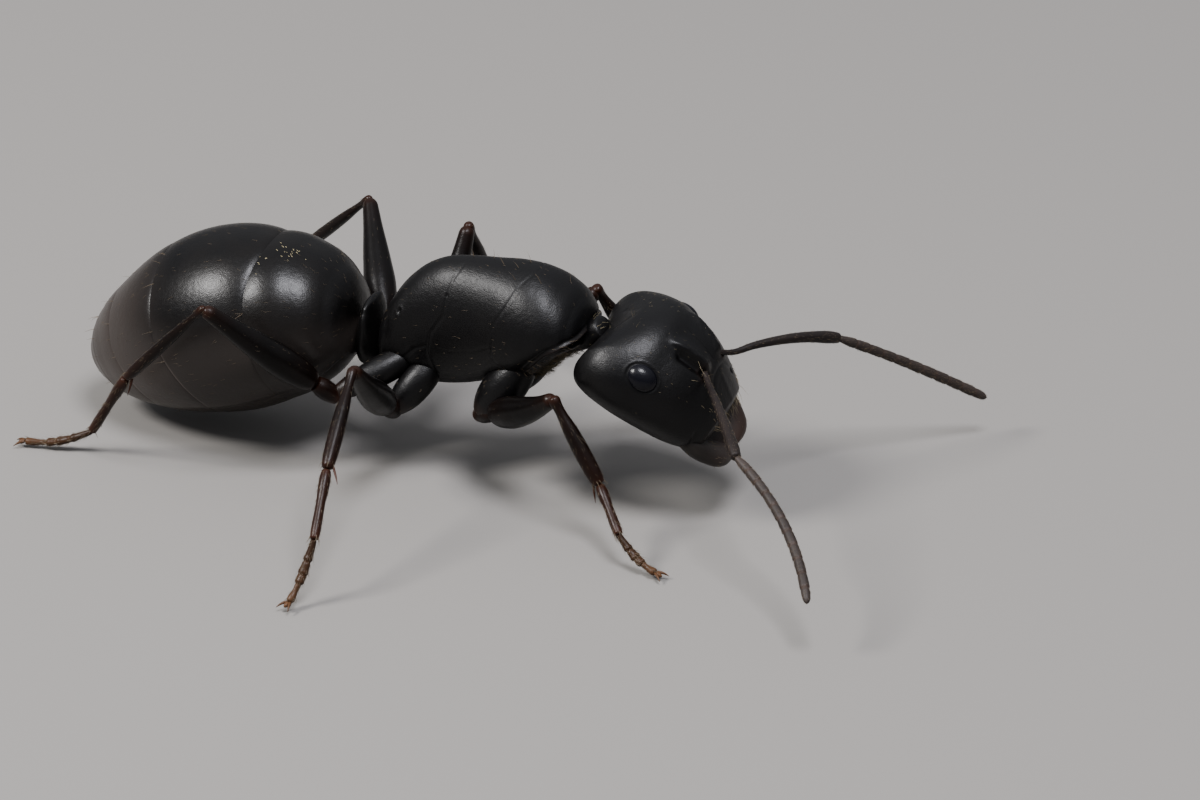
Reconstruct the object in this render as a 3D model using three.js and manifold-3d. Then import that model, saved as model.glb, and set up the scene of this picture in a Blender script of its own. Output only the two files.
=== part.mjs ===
// A carpenter ant worker standing in mid-step, at life size, divided into its named body parts.
// Millimetres. +X is the way the ant faces, +Y is its left, +Z is up and the ground is z = 0.
import * as THREE from "three";
import { mergeVertices } from "three/addons/utils/BufferGeometryUtils.js";
import Module from "manifold-3d";

const wasm = await Module();
wasm.setup();

// ---- driving dimensions -------------------------------------------------------------------
const GAP = 0.03; // the thin cut between two neighbouring parts
const SLIMMEST = 0.25; // the least half-thickness of a leg or feeler
const GROUND = 0;
const WELD = 0.004; // edges shorter than this are closed up after a cut
const UPRIGHT = new THREE.Vector3(0, 0, 1);

// The trunk, from the petiole's socket to the collar, and where its two sutures cross the back.
const TRUNK_REAR = -2.42;
const TRUNK_FRONT = 1.4;
const TRUNK_AXIS_HEIGHT = 2.8;
const PRONOTAL_SUTURE = 0.02;
const METANOTAL_SUTURE = -0.92;

// The head hangs from the neck: its face is turned down by the pitch, a little to the left by the
// yaw, and its left cheek is lifted by the roll, all in degrees.
const NECK_BASE = new THREE.Vector3(0.3, 0, 2.2);
const NECK_JOINT = new THREE.Vector3(1.57, 0, 3.1);
const HEAD_BACK = 0.075; // from the neck's joint to the hollow in the middle of the head's back
const HEAD_LENGTH = 2.6; // from the neck's joint to the front of the mouth plate
const HEAD_TURN = { pitch: 33, yaw: 6, roll: 5.4 };
const LOBES = { trail: 0.22, out: 0.7, share: 0.35 }; // the back corners, which trail behind the hollow
const EYE = { ahead: 1.02, out: 1.11, up: 0.5, long: 0.3, wide: 0.26, thick: 0.16, lean: 0.98 };
const SOCKET = { ahead: 1.87, out: 0.39, up: 0.81 };
const JAW = { root: [2.28, 0.6, -0.22], pull: [3.0, 0.73, -0.3], tip: [3.0, 0.1, -0.33] };

// The waist scale and the gaster behind it, whose axis sinks towards the tip.
const WAIST = { x: -2.66, top: 2.96, foot: 1.72, halfWidth: 0.5, halfThickness: 0.2 };
const GASTER_FRONT = new THREE.Vector3(-2.9, 0, 2.72);
const GASTER_PULL = new THREE.Vector3(-5.4, 0, 2.35); // bends the axis, which sags in its middle
const GASTER_TIP = new THREE.Vector3(-7.82, 0, 0.82);
const GASTER_PLATES = [0, 0.3, 0.62, 0.84, 0.94, 1]; // where each plate ends along the axis

const SCAPE = 2.5;
const FUNICULUS = 3.25;
const TROCHANTER = 0.36;

// Lengths of each leg's long joints, by pair, and the places of the coxa's root and tip on one side.
const LEG_PAIRS = {
  fore: {
    femur: 2.33, tibia: 1.66, basitarsus: 1.02, tarsus: 0.98,
    root: [0.32, 0.42, 2.42], hip: [-0.38, 0.58, 1.38], coxaGirth: 0.35, femurGirth: 0.3,
  },
  mid: {
    femur: 2.64, tibia: 1.99, basitarsus: 1.31, tarsus: 1.2,
    root: [-1.42, 0.28, 2.02], hip: [-1.95, 0.78, 1.25], coxaGirth: 0.29, femurGirth: 0.27,
  },
  hind: {
    femur: 2.92, tibia: 2.32, basitarsus: 1.54, tarsus: 1.32,
    root: [-1.92, 0.28, 2.08], hip: [-2.9, 1.17, 1.54], coxaGirth: 0.29, femurGirth: 0.28,
  },
};

// The stance: for each leg, the heading of its joints in degrees from straight ahead (towards the
// left is positive) and their rise above the level. The tarsus sinks just enough to reach the ground.
const STANCE = {
  right_fore: { femur: [-31, 28], tibia: [-14, -54], basitarsus: [-46, -32], tarsus: [-16] },
  left_fore: { femur: [31, 49], tibia: [49, -58], basitarsus: [46, -55], tarsus: [40] },
  right_mid: { femur: [-86, 40], tibia: [-82, -32], basitarsus: [-79, -39], tarsus: [-107] },
  left_mid: { femur: [82, 59], tibia: [89, -59], basitarsus: [84, -48], tarsus: [83] },
  right_hind: { femur: [-145, 40], tibia: [173, -47], basitarsus: [161, -57], tarsus: [-170] },
  left_hind: { femur: [120, 32], tibia: [158, -42], basitarsus: [135, -38], tarsus: [128] },
};
const FEELERS = {
  right: { scape: [-56, -9], funiculus: [-45, -24], bow: [0.46, 0.18, 0.04] },
  left: { scape: [55, -9], funiculus: [45, -31], bow: [0, 0, 0.1] },
};
const CLAW_HEIGHT = 0.1; // of the centre line at the tip of a foot
const MIDDLE = [1.0, -0.25, 0]; // carries the middle of the whole ant over the origin
const ROOMY = 4; // the side of a cutting block, larger than any part it cuts

const COLOURS = {
  cuticle: { color: 0x0b0a0b, roughness: 0.32, metalness: 0 },
  leg: { color: 0x1d100b, roughness: 0.38, metalness: 0 },
  feeler: { color: 0x2a1c16, roughness: 0.55, metalness: 0 },
  eye: { color: 0x0d0d10, roughness: 0.2, metalness: 0 },
};
const MATERIALS = Object.fromEntries(
  Object.entries(COLOURS).map(([name, look]) => [name, new THREE.MeshStandardMaterial(look)]),
);

// ---- shapes -------------------------------------------------------------------------------
// One number on the smooth curve through four evenly spaced ones, at the fraction f of the middle gap.
function between(a, b, c, d, f) {
  const slopeIn = (c - a) / 2;
  const slopeOut = (d - b) / 2;
  const g = 1 - f;
  return g * g * (1 + 2 * f) * b + f * f * (3 - 2 * f) * c + f * g * (g * slopeIn - f * slopeOut);
}

function rowAt(rows, place) {
  const last = rows.length - 1;
  const low = Math.min(Math.floor(place), last - 1);
  const near = [-1, 0, 1, 2].map((k) => rows[THREE.MathUtils.clamp(low + k, 0, last)]);
  return rows[0].map((_, i) => between(...near.map((row) => row[i]), place - low));
}

// A closed skin of oval rings along a path. Each row gives a fraction of the path, the half-width
// there, and the depths above and below the path. It grows outwards by `grow` on every side, and
// `trail` gives how far a point of a ring trails behind it, for its place and its distance out.
function loft(path, rows, { sides = 12, perRow = 2, grow = 0, trail = () => 0 } = {}) {
  const rings = (rows.length - 1) * perRow + 1;
  const length = path.getLength();
  const points = [];
  const addPoint = (p) => points.push(p.x, p.y, p.z);
  const frameAt = (place) => {
    const inside = THREE.MathUtils.clamp(place, 0, 1);
    const ahead = path.getTangentAt(inside);
    const point = path.getPointAt(inside).addScaledVector(ahead, (place - inside) * length);
    const side = new THREE.Vector3().crossVectors(UPRIGHT, ahead).normalize();
    return { point, ahead, side, up: new THREE.Vector3().crossVectors(ahead, side) };
  };
  for (let i = 0; i < rings; i += 1) {
    const [place, wide, above, below] = rowAt(rows, i / perRow);
    const end = i === 0 ? -grow : i === rings - 1 ? grow : 0;
    const { point, ahead, side, up } = frameAt(place);
    point.addScaledVector(ahead, end);
    if (i === 0) addPoint(point);
    for (let j = 0; j < sides; j += 1) {
      const turn = ((j + 0.5) / sides) * 2 * Math.PI;
      const rise = Math.sin(turn);
      const out = Math.cos(turn) * (wide + grow);
      const depth = (rise > 0 ? above : below) + grow;
      addPoint(point.clone()
        .addScaledVector(ahead, -trail(place, out))
        .addScaledVector(side, out)
        .addScaledVector(up, rise * depth));
    }
    if (i === rings - 1) addPoint(point);
  }
  const index = [];
  const tip = rings * sides + 1;
  const ring = (i, j) => 1 + i * sides + (j % sides);
  for (let j = 0; j < sides; j += 1) {
    index.push(0, ring(0, j + 1), ring(0, j));
    index.push(tip, ring(rings - 1, j), ring(rings - 1, j + 1));
    for (let i = 0; i + 1 < rings; i += 1) {
      index.push(ring(i, j), ring(i, j + 1), ring(i + 1, j));
      index.push(ring(i, j + 1), ring(i + 1, j + 1), ring(i + 1, j));
    }
  }
  const geometry = new THREE.BufferGeometry();
  geometry.setAttribute("position", new THREE.Float32BufferAttribute(points, 3));
  geometry.setIndex(index);
  return solid(geometry);
}

function ellipsoid(centre, [long, wide, thick], turn, { grow = 0, detail = 12 } = {}) {
  const geometry = new THREE.SphereGeometry(1, detail, Math.round(detail * 0.6));
  geometry.scale(long + grow, wide + grow, thick + grow);
  geometry.applyQuaternion(turn);
  geometry.translate(centre.x, centre.y, centre.z);
  return solid(geometry);
}

function slab(size, centre, tilt = 0) {
  const geometry = new THREE.BoxGeometry(...size);
  geometry.rotateY(THREE.MathUtils.degToRad(tilt));
  geometry.translate(...centre);
  return solid(geometry);
}

function solid(geometry) {
  geometry.deleteAttribute("normal");
  geometry.deleteAttribute("uv");
  const merged = mergeVertices(geometry, 1e-5);
  return new wasm.Manifold(new wasm.Mesh({
    numProp: 3,
    vertProperties: merged.attributes.position.array,
    triVerts: new Uint32Array(merged.index.array),
  }));
}

function largest(body) {
  return body.decompose().reduce((best, piece) => (piece.volume() > best.volume() ? piece : best));
}

// ---- the parts, each cut back from the neighbours that were made before it --------------------
const ant = new THREE.Group();
const shapes = {};

function add(name, look, shape, ...neighbours) {
  shapes[name] = shape;
  let body = shape(0);
  for (const neighbour of neighbours) body = body.subtract(shapes[neighbour](GAP));
  body = largest(body).simplify(WELD);
  const { vertProperties, triVerts } = body.getMesh();
  const geometry = new THREE.BufferGeometry();
  geometry.setAttribute("position", new THREE.BufferAttribute(vertProperties, 3));
  geometry.setIndex(new THREE.BufferAttribute(triVerts, 1));
  geometry.computeVertexNormals();
  const mesh = new THREE.Mesh(geometry, MATERIALS[look]);
  mesh.name = name;
  ant.add(mesh);
}

function heading([azimuth, rise]) {
  const [turn, lift] = [azimuth, rise].map(THREE.MathUtils.degToRad);
  return new THREE.Vector3(
    Math.cos(lift) * Math.cos(turn), Math.cos(lift) * Math.sin(turn), Math.sin(lift),
  );
}

function onwards(from, direction, length) {
  return from.clone().addScaledVector(heading(direction), length);
}

// ---- trunk: one hull, parted at its two sutures ------------------------------------------------
function trunk(grow) {
  const axis = new THREE.LineCurve3(
    new THREE.Vector3(TRUNK_REAR, 0, TRUNK_AXIS_HEIGHT),
    new THREE.Vector3(TRUNK_FRONT, 0, TRUNK_AXIS_HEIGHT),
  );
  const rows = [
    [0, 0.3, -0.22, 1.0], [0.02, 0.46, 0.0, 1.14], [0.07, 0.56, 0.36, 1.2], [0.17, 0.62, 0.82, 1.22],
    [0.28, 0.67, 1.09, 1.22], [0.4, 0.72, 1.2, 1.14], [0.53, 0.8, 1.24, 0.98], [0.66, 0.92, 1.27, 0.8],
    [0.77, 0.97, 1.22, 0.6], [0.87, 0.93, 1.06, 0.24], [0.945, 0.78, 0.82, 0.04],
    [0.985, 0.56, 0.58, -0.04], [1, 0.36, 0.4, -0.1],
  ];
  return loft(axis, rows, { sides: 18, perRow: 2, grow });
}

function trunkBetween(rear, front) {
  return (grow) => {
    const length = front - rear - GAP + 2 * grow;
    const block = slab([length, ROOMY, ROOMY], [(front + rear) / 2, 0, TRUNK_AXIS_HEIGHT]);
    return trunk(grow).intersect(block);
  };
}

add("mesothorax", "cuticle", trunkBetween(METANOTAL_SUTURE, PRONOTAL_SUTURE));
add("pronotum", "cuticle", trunkBetween(PRONOTAL_SUTURE, TRUNK_FRONT + 1));
add("propodeum", "cuticle", trunkBetween(TRUNK_REAR - 1, METANOTAL_SUTURE));

// ---- waist and gaster --------------------------------------------------------------------------
add("petiole", "cuticle", (grow) => {
  const stalk = new THREE.LineCurve3(
    new THREE.Vector3(WAIST.x, 0, WAIST.foot), new THREE.Vector3(WAIST.x - 0.02, 0, WAIST.top),
  );
  const { halfWidth: w, halfThickness: t } = WAIST;
  const rows = [[0, t, w * 0.5, w * 0.5], [0.1, t * 1.2, w * 0.7, w * 0.7], [0.5, t, w, w],
    [0.85, t * 0.6, w * 0.86, w * 0.86], [0.97, t * 0.4, w * 0.5, w * 0.5], [1, t * 0.2, w * 0.2, w * 0.2]];
  return uprightLoft(stalk, rows, grow);
}, "propodeum");

// An upright scale: its rows give the half-thickness fore and aft, then the half-width.
function uprightLoft(stalk, rows, grow) {
  const [foot, top] = [stalk.v1, stalk.v2];
  const lying = new THREE.LineCurve3(new THREE.Vector3(), new THREE.Vector3(foot.distanceTo(top), 0, 0));
  const turned = rows.map(([place, thick, wide]) => [place, wide, thick, thick]);
  return loft(lying, turned, { sides: 10, perRow: 2, grow })
    .rotate([0, -90, 0])
    .translate([foot.x, foot.y, foot.z]);
}

function gaster(grow) {
  const axis = new THREE.QuadraticBezierCurve3(GASTER_FRONT, GASTER_PULL, GASTER_TIP);
  const rows = [
    [0, 0.3, 0.12, 0.5], [0.015, 0.62, 0.35, 0.85], [0.06, 1.02, 0.72, 1.18], [0.16, 1.36, 1.12, 1.46],
    [0.3, 1.55, 1.4, 1.62], [0.45, 1.62, 1.5, 1.7], [0.6, 1.55, 1.42, 1.6], [0.75, 1.32, 1.18, 1.38],
    [0.87, 0.98, 0.88, 1.04], [0.95, 0.62, 0.56, 0.66], [0.99, 0.3, 0.27, 0.32], [1, 0.12, 0.12, 0.12],
  ];
  return loft(axis, rows, { sides: 18, perRow: 2, grow });
}

// The plates part where planes across the line from the gaster's front to its tip cut it.
function gasterBetween(start, end) {
  const along = new THREE.Vector3().subVectors(GASTER_TIP, GASTER_FRONT);
  const reach = along.length();
  const tilt = THREE.MathUtils.radToDeg(Math.atan2(along.z, -along.x));
  const from = start === 0 ? -1 : start * reach + GAP / 2;
  const to = end === 1 ? reach + 1 : end * reach - GAP / 2;
  const middle = GASTER_FRONT.clone().addScaledVector(along, (from + to) / 2 / reach);
  return (grow) => {
    const block = slab([to - from + 2 * grow, ROOMY, 1.5 * ROOMY], middle.toArray(), tilt);
    return gaster(grow).intersect(block);
  };
}

GASTER_PLATES.slice(1).forEach((end, i) => {
  add(`gaster_${i + 1}`, "cuticle", gasterBetween(GASTER_PLATES[i], end), "petiole");
});

// ---- head ------------------------------------------------------------------------------------
const turned = ["roll", "pitch", "yaw"].map((name) => THREE.MathUtils.degToRad(HEAD_TURN[name]));
const FACE = new THREE.Quaternion().setFromEuler(new THREE.Euler(...turned, "ZYX"));

// A point of the head: so far ahead of the neck, out to the left, and up from the head's axis.
function onHead(ahead, out, up) {
  return new THREE.Vector3(ahead, out, up).applyQuaternion(FACE).add(NECK_JOINT);
}

function evenRod(width, places) {
  return places.map(([place, share]) => [place, width * share, width * share, width * share]);
}

add("neck", "cuticle", (grow) => {
  const axis = new THREE.LineCurve3(NECK_BASE, NECK_JOINT);
  const rows = [[0, 0.42, 0.4, 0.3], [0.15, 0.38, 0.36, 0.24], [0.4, 0.28, 0.3, 0.14], [0.7, 0.26, 0.28, 0.15],
    [1, 0.22, 0.22, 0.18]];
  return loft(axis, rows, { sides: 8, grow });
}, "pronotum", "mesothorax");

for (const [side, hand] of [["right", -1], ["left", 1]]) {
  add(`eye_${side}`, "eye", (grow) => {
    const lean = new THREE.Quaternion().setFromEuler(new THREE.Euler(-hand * EYE.lean, 0, 0));
    const centre = onHead(EYE.ahead, hand * EYE.out, EYE.up);
    return ellipsoid(centre, [EYE.long, EYE.wide, EYE.thick], FACE.clone().multiply(lean), { grow });
  });
}

add("head", "cuticle", (grow) => {
  const axis = new THREE.LineCurve3(onHead(HEAD_BACK, 0, 0), onHead(HEAD_LENGTH, 0, 0));
  const rows = [
    [0, 0.19, -0.04, 0.27], [0.02, 0.48, 0.13, 0.42], [0.05, 0.82, 0.37, 0.61], [0.1, 1.17, 0.67, 0.78],
    [0.16, 1.31, 0.87, 0.82], [0.3, 1.39, 1.07, 0.85], [0.45, 1.34, 1.08, 0.88], [0.6, 1.29, 1.0, 0.86],
    [0.75, 1.19, 0.83, 0.81], [0.88, 1.05, 0.63, 0.7], [0.96, 0.9, 0.48, 0.58],
    [0.985, 0.78, 0.38, 0.48], [1, 0.4, 0.14, 0.24],
  ];
  const trail = (place, out) => {
    const fade = Math.max(0, 1 - place / LOBES.share) ** 2;
    return LOBES.trail * fade * Math.min(1.3, Math.abs(out) / LOBES.out) ** 2;
  };
  return loft(axis, rows, { sides: 20, perRow: 2, grow, trail });
}, "eye_right", "eye_left", "neck", "pronotum");

for (const [side, hand] of [["right", -1], ["left", 1]]) {
  add(`mandible_${side}`, "cuticle", (grow) => {
    const [from, pull, to] = [JAW.root, JAW.pull, JAW.tip].map(([x, y, z]) => onHead(x, hand * y, z));
    const rows = [
      [0, 0.3, 0.26, 0.26], [0.3, 0.3, 0.24, 0.24], [0.7, 0.24, 0.2, 0.2], [0.95, 0.12, 0.12, 0.12],
      [1, 0.04, 0.05, 0.05],
    ];
    const path = new THREE.QuadraticBezierCurve3(from, pull, to);
    const cheek = slab([2 * ROOMY, ROOMY, ROOMY], [0, hand * (ROOMY / 2 + GAP / 2 - grow), 0]);
    const level = new THREE.Matrix4().compose(NECK_JOINT, FACE, new THREE.Vector3(1, 1, 1));
    return loft(path, rows, { sides: 8, grow }).intersect(cheek.transform(level.elements));
  }, "head");

  const pose = FEELERS[side];
  const socket = onHead(SOCKET.ahead, hand * SOCKET.out, SOCKET.up);
  const elbow = onwards(socket, pose.scape, SCAPE);
  const tip = onwards(elbow, pose.funiculus, FUNICULUS);
  add(`scape_${side}`, "feeler", (grow) => {
    const rows = evenRod(SLIMMEST, [[0, 1], [0.5, 1], [0.95, 1], [1, 0.7]]);
    return loft(new THREE.LineCurve3(socket, elbow), rows, { sides: 8, perRow: 1, grow });
  }, "head");
  add(`funiculus_${side}`, "feeler", (grow) => {
    const middle = elbow.clone().lerp(tip, 0.45).add(new THREE.Vector3(...pose.bow));
    const rows = evenRod(SLIMMEST, [[0, 0.8], [0.1, 1], [0.9, 1], [0.98, 0.7], [1, 0.3]]);
    return loft(new THREE.QuadraticBezierCurve3(elbow, middle, tip), rows, { sides: 6, grow });
  }, `scape_${side}`);
}

// ---- legs ------------------------------------------------------------------------------------
function limb(from, to, rows, options) {
  return (grow) => loft(new THREE.LineCurve3(from, to), rows, { sides: 7, perRow: 1, grow, ...options });
}

const spindle = (girth) => [
  [0, 0.18, 0.18, 0.18], [0.06, 0.25, 0.25, 0.25], [0.35, girth * 0.9, girth, girth],
  [0.65, girth * 0.85, girth * 0.95, girth * 0.95], [0.96, SLIMMEST, SLIMMEST, SLIMMEST],
  [1, 0.15, 0.15, 0.15],
];
const cone = (girth) => [
  [0, girth * 0.9, girth * 0.9, girth * 0.9], [0.4, girth, girth, girth],
  [0.85, girth * 0.8, girth * 0.8, girth * 0.8], [1, 0.16, 0.16, 0.16],
];
const KNOB = evenRod(SLIMMEST, [[-0.3, 0.8], [0, 1], [0.9, 1], [1, 0.72]]);
const ROD = evenRod(SLIMMEST, [[0, 0.64], [0.06, 1], [0.94, 1], [1, 0.68]]);

for (const [leg, pose] of Object.entries(STANCE)) {
  const [side, pair] = leg.split("_");
  const size = LEG_PAIRS[pair];
  const mirror = new THREE.Vector3(1, side === "left" ? 1 : -1, 1);
  const root = new THREE.Vector3(...size.root).multiply(mirror);
  const hip = new THREE.Vector3(...size.hip).multiply(mirror);
  const thigh = onwards(hip, pose.femur, TROCHANTER);
  const knee = onwards(hip, pose.femur, size.femur);
  const ankle = onwards(knee, pose.tibia, size.tibia);
  const heel = onwards(ankle, pose.basitarsus, size.basitarsus);
  const fall = THREE.MathUtils.radToDeg(Math.asin((CLAW_HEIGHT - heel.z) / size.tarsus));
  const claw = onwards(heel, [pose.tarsus[0], fall], size.tarsus);
  add(`${leg}_coxa`, "leg", limb(root, hip, cone(size.coxaGirth), { sides: 8, perRow: 2 }),
    "mesothorax", "pronotum", "propodeum", "neck", "petiole");
  add(`${leg}_trochanter`, "leg", limb(hip, thigh, KNOB, { sides: 6 }), `${leg}_coxa`);
  add(`${leg}_femur`, "leg", limb(thigh, knee, spindle(size.femurGirth)),
    `${leg}_trochanter`, `${leg}_coxa`, "mesothorax", "pronotum");
  add(`${leg}_tibia`, "leg", limb(knee, ankle, ROD), `${leg}_femur`);
  add(`${leg}_basitarsus`, "leg", limb(ankle, heel, ROD, { sides: 6 }), `${leg}_tibia`);
  const foot = limb(heel, claw, ROD);
  add(`${leg}_tarsus`, "leg", (grow) => foot(grow).trimByPlane([0, 0, 1], GROUND), `${leg}_basitarsus`);
}

ant.position.set(...MIDDLE);

export default ant;
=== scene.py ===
# %% [markdown]
# # A carpenter ant worker, at life size
# The real animal is a large black ant, 12 mm from jaws to tail, caught in mid-step with its head turned
# down and its elbowed feelers spread. Every part of it is a hard shell, so the model is made of smooth
# closed shells that meet at the joints the animal has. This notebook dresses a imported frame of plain
# solids: each cell makes one part of the ant and says how the shape was worked out.

# %% Load the frame of plain solids
import math

import bpy
import numpy as np
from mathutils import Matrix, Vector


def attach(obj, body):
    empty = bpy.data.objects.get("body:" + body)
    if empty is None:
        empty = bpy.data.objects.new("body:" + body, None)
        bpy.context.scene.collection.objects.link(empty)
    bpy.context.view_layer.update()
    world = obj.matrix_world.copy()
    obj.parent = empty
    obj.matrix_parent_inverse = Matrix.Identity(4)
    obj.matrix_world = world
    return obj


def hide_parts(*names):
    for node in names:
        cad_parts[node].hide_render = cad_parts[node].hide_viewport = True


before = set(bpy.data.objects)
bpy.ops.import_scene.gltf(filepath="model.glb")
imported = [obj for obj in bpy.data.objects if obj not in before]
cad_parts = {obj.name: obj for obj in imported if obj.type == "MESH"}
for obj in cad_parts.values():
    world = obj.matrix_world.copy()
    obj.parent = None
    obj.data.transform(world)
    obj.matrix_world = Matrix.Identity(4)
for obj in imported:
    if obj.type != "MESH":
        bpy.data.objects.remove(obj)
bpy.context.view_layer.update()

# %% [markdown]
# ## Sizes
# The ant is measured in millimetres from a point on the ground under its trunk, with +X the way it faces,
# +Y its left and +Z up. The frame is in metres and stands over the middle of the whole animal, feelers and
# feet included, so one shift and one scale carry every finished shape into it.

# %% Sizes and the stance
MM = 0.001
MIDDLE = np.array([1.0, -0.25, 0.0])
X, Y, Z = np.eye(3)

TRUNK_REAR, TRUNK_FRONT, TRUNK_HEIGHT = -2.42, 1.4, 2.8
NECK_BASE, NECK_JOINT = np.array([0.3, 0, 2.2]), np.array([1.57, 0, 3.1])
HEAD_BACK, HEAD_LENGTH = 0.075, 2.6
HEAD_TURN = {"roll": 5.4, "pitch": 33, "yaw": 6}
EYE = {"place": [1.035, 1.125, 0.485], "long": 0.28, "wide": 0.225, "proud": 0.17, "lean": 0.98}  # radians
SOCKET = [1.87, 0.39, 0.81]
GASTER_FRONT, GASTER_TIP = np.array([-2.9, 0, 2.72]), np.array([-7.82, 0, 0.82])
GASTER_PULL = np.array([-5.4, 0, 2.35])
SCAPE, FUNICULUS, TROCHANTER, CLAW_HEIGHT = 2.5, 3.25, 0.36, 0.1
SIDES = {"right": -1, "left": 1}

# lengths of the joints, the left hip's two ends, and how stout, tapered, bowed and spurred the leg is
LEG_PAIRS = {
    "fore": {"femur": 2.33, "tibia": 1.66, "basitarsus": 1.02, "tarsus": 0.98,
             "root": [0.36, 0.38, 2.46], "hip": [-0.38, 0.58, 1.38], "girth": 0.37, "taper": 0,
             "shin": 1, "belly": -0.2, "spur": -1},
    "mid": {"femur": 2.64, "tibia": 1.99, "basitarsus": 1.31, "tarsus": 1.2,
            "root": [-1.36, 0.2, 2.1], "hip": [-1.95, 0.78, 1.25], "girth": 0.29, "taper": 0,
            "shin": 0.9, "belly": -0.12, "spur": 1},
    "hind": {"femur": 2.92, "tibia": 2.32, "basitarsus": 1.54, "tarsus": 1.32,
             "root": [-1.8, 0.2, 2.12], "hip": [-2.9, 1.17, 1.54], "girth": 0.3, "taper": 0.3,
             "shin": 0.72, "belly": -0.04, "spur": 1},
}
# heading of each joint from straight ahead, left positive, then its rise above the level, in degrees
STANCE = {
    "right_fore": {"femur": [-31, 28], "tibia": [-14, -54], "basitarsus": [-46, -32], "tarsus": -16},
    "left_fore": {"femur": [31, 49], "tibia": [49, -58], "basitarsus": [46, -55], "tarsus": 40},
    "right_mid": {"femur": [-86, 40], "tibia": [-82, -32], "basitarsus": [-79, -39], "tarsus": -107},
    "left_mid": {"femur": [82, 59], "tibia": [89, -59], "basitarsus": [84, -48], "tarsus": 83},
    "right_hind": {"femur": [-145, 40], "tibia": [173, -47], "basitarsus": [161, -57], "tarsus": -170},
    "left_hind": {"femur": [120, 32], "tibia": [158, -42], "basitarsus": [135, -38], "tarsus": 128},
}
FEELERS = {
    "right": {"scape": [-56, -9], "funiculus": [-45, -24], "bow": [0.46, 0.18, 0.04], "arch": 0.3},
    "left": {"scape": [55, -9], "funiculus": [45, -31], "bow": [0, 0, 0.1], "arch": 0.7},
}
print("legs:", list(STANCE), "trunk in mm:", round(TRUNK_FRONT - TRUNK_REAR, 2))

# %% [markdown]
# ## Camera, floor and light
# A long lens stands well back, so that near and far legs keep their sizes. The shine on black shell is all
# in what it mirrors. Small lamps would dot it with sparks, so two broad ones give every dome its satin
# patches, a sky that darkens towards the ground keeps the flanks black, and a pale floor lifts the belly.

# %% Camera
VIEW_AZIMUTH, VIEW_RISE = math.radians(22.233), math.radians(26.259)
VIEW_DISTANCE, VIEW_LENS = 180, 313.2
SENSOR_WIDTH, NEAR_AND_FAR = 36, (0.01, 10)
LOOK_AT = np.array([2.0, 1.135, 1.0])


def towards(azimuth, rise):
    """The direction of something at an azimuth, turned from -Y towards +X, and a rise, both in radians."""
    level = math.cos(rise)
    return np.array([math.sin(azimuth) * level, -math.cos(azimuth) * level, math.sin(rise)])


def aim(thing, place, target):
    """Puts a camera or lamp at a place in millimetres, looking at a target."""
    thing.location = place * MM
    thing.rotation_euler = Vector((target - place).tolist()).to_track_quat("-Z", "Y").to_euler()
    bpy.context.scene.collection.objects.link(thing)


camera = bpy.data.objects.new("camera", bpy.data.cameras.new("camera"))
camera.data.sensor_width, camera.data.lens = SENSOR_WIDTH, VIEW_LENS
camera.data.clip_start, camera.data.clip_end = NEAR_AND_FAR
aim(camera, LOOK_AT + VIEW_DISTANCE * towards(VIEW_AZIMUTH, VIEW_RISE), LOOK_AT)
bpy.context.scene.camera = camera
print("camera at", [round(v, 4) for v in camera.location])

# %% Lamps
LIT_PLACE = np.array([-0.5, 0, 2.0])
LAMPS = {  # azimuth and rise in degrees, distance and size in mm, power in watts, colour
    "left_lamp": (-52, 45, 120, 36, 0.24, (1.0, 0.98, 0.97)),
    "high_lamp": (45, 69, 120, 44, 0.23, (0.94, 0.94, 1.0)),
}
for name, (azimuth, rise, distance, size, power, colour) in LAMPS.items():
    lamp = bpy.data.objects.new(name, bpy.data.lights.new(name, "AREA"))
    lamp.data.shape, lamp.data.size = "DISK", size * MM
    lamp.data.energy, lamp.data.color = power, colour
    aim(lamp, LIT_PLACE + distance * towards(math.radians(azimuth), math.radians(rise)), LIT_PLACE)


# %% Sky
def link(tree, *pairs):
    """Joins sockets of a node tree, two at a time."""
    for out, into in pairs:
        tree.links.new(out, into)


def set_range(node, ends, low, high):
    """Sets where a Map Range node starts and stops, on its From or its To side."""
    node.inputs[f"{ends} Min"].default_value, node.inputs[f"{ends} Max"].default_value = low, high


SKY_COLOUR = (0.84, 0.86, 0.92, 1)
SKY_DARK_BELOW, SKY_BRIGHT_ABOVE, SKY_LOW, SKY_HIGH = -0.1, 0.95, 0.03, 1.0
world = bpy.data.worlds.new("pale_room")
world.use_nodes = True
room = world.node_tree
kinds = ("TexCoord", "SeparateXYZ", "MapRange")
direction, level, fade = (room.nodes.new(f"ShaderNode{kind}") for kind in kinds)
set_range(fade, "From", SKY_DARK_BELOW, SKY_BRIGHT_ABOVE)
set_range(fade, "To", SKY_LOW, SKY_HIGH)
link(room, (direction.outputs["Generated"], level.inputs[0]), (level.outputs["Z"], fade.inputs["Value"]),
     (fade.outputs[0], room.nodes["Background"].inputs["Strength"]))
room.nodes["Background"].inputs["Color"].default_value = SKY_COLOUR
bpy.context.scene.world = world
print("lamps:", list(LAMPS))

# %% [markdown]
# ## Surfaces from arrays
# A leg joint, a feeler, a head and an abdomen are all the same kind of thing: an oval that changes size as
# it travels along a line. Sculpting by hand would do, but a formula on a grid of places gives the same
# shape each time and lets grooves, rims and pits be added as heights. Everything below works on whole
# arrays at once.

# %% Reading a table of sections


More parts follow.
